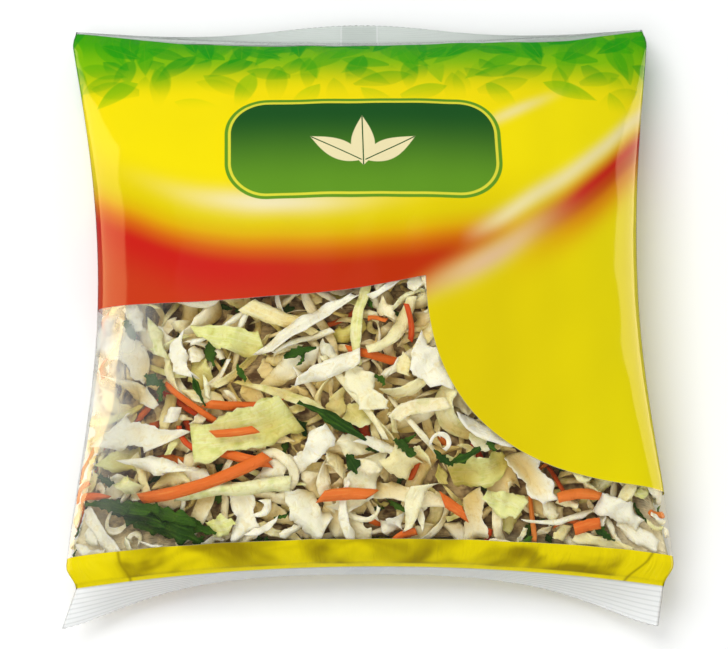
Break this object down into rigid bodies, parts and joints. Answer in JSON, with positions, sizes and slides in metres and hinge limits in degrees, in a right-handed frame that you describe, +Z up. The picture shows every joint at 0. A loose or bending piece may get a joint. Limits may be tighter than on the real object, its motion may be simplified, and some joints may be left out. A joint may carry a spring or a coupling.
{
  "type": "bag of coleslaw mix",
  "caption": "Sealed clear-window film pillow bag of shredded cabbage, carrot and parsley, with crimped fin seals at both ends, lying on its back.",
  "frame": {"origin": "on the table, under the middle of the bag's bounding box", "axes": "+Z up, out of the window side, +Y to the top end of the pack, +X to the right as seen from the window side"},
  "size_m": [0.2148, 0.2306, 0.0606],
  "materials": {
    "film": "glossy printed film, yellow with green, red and orange fields and a clear window on the slaw"
  },
  "bodies": {
    "root": {"bag": "film"}
  },
  "joints": []
}
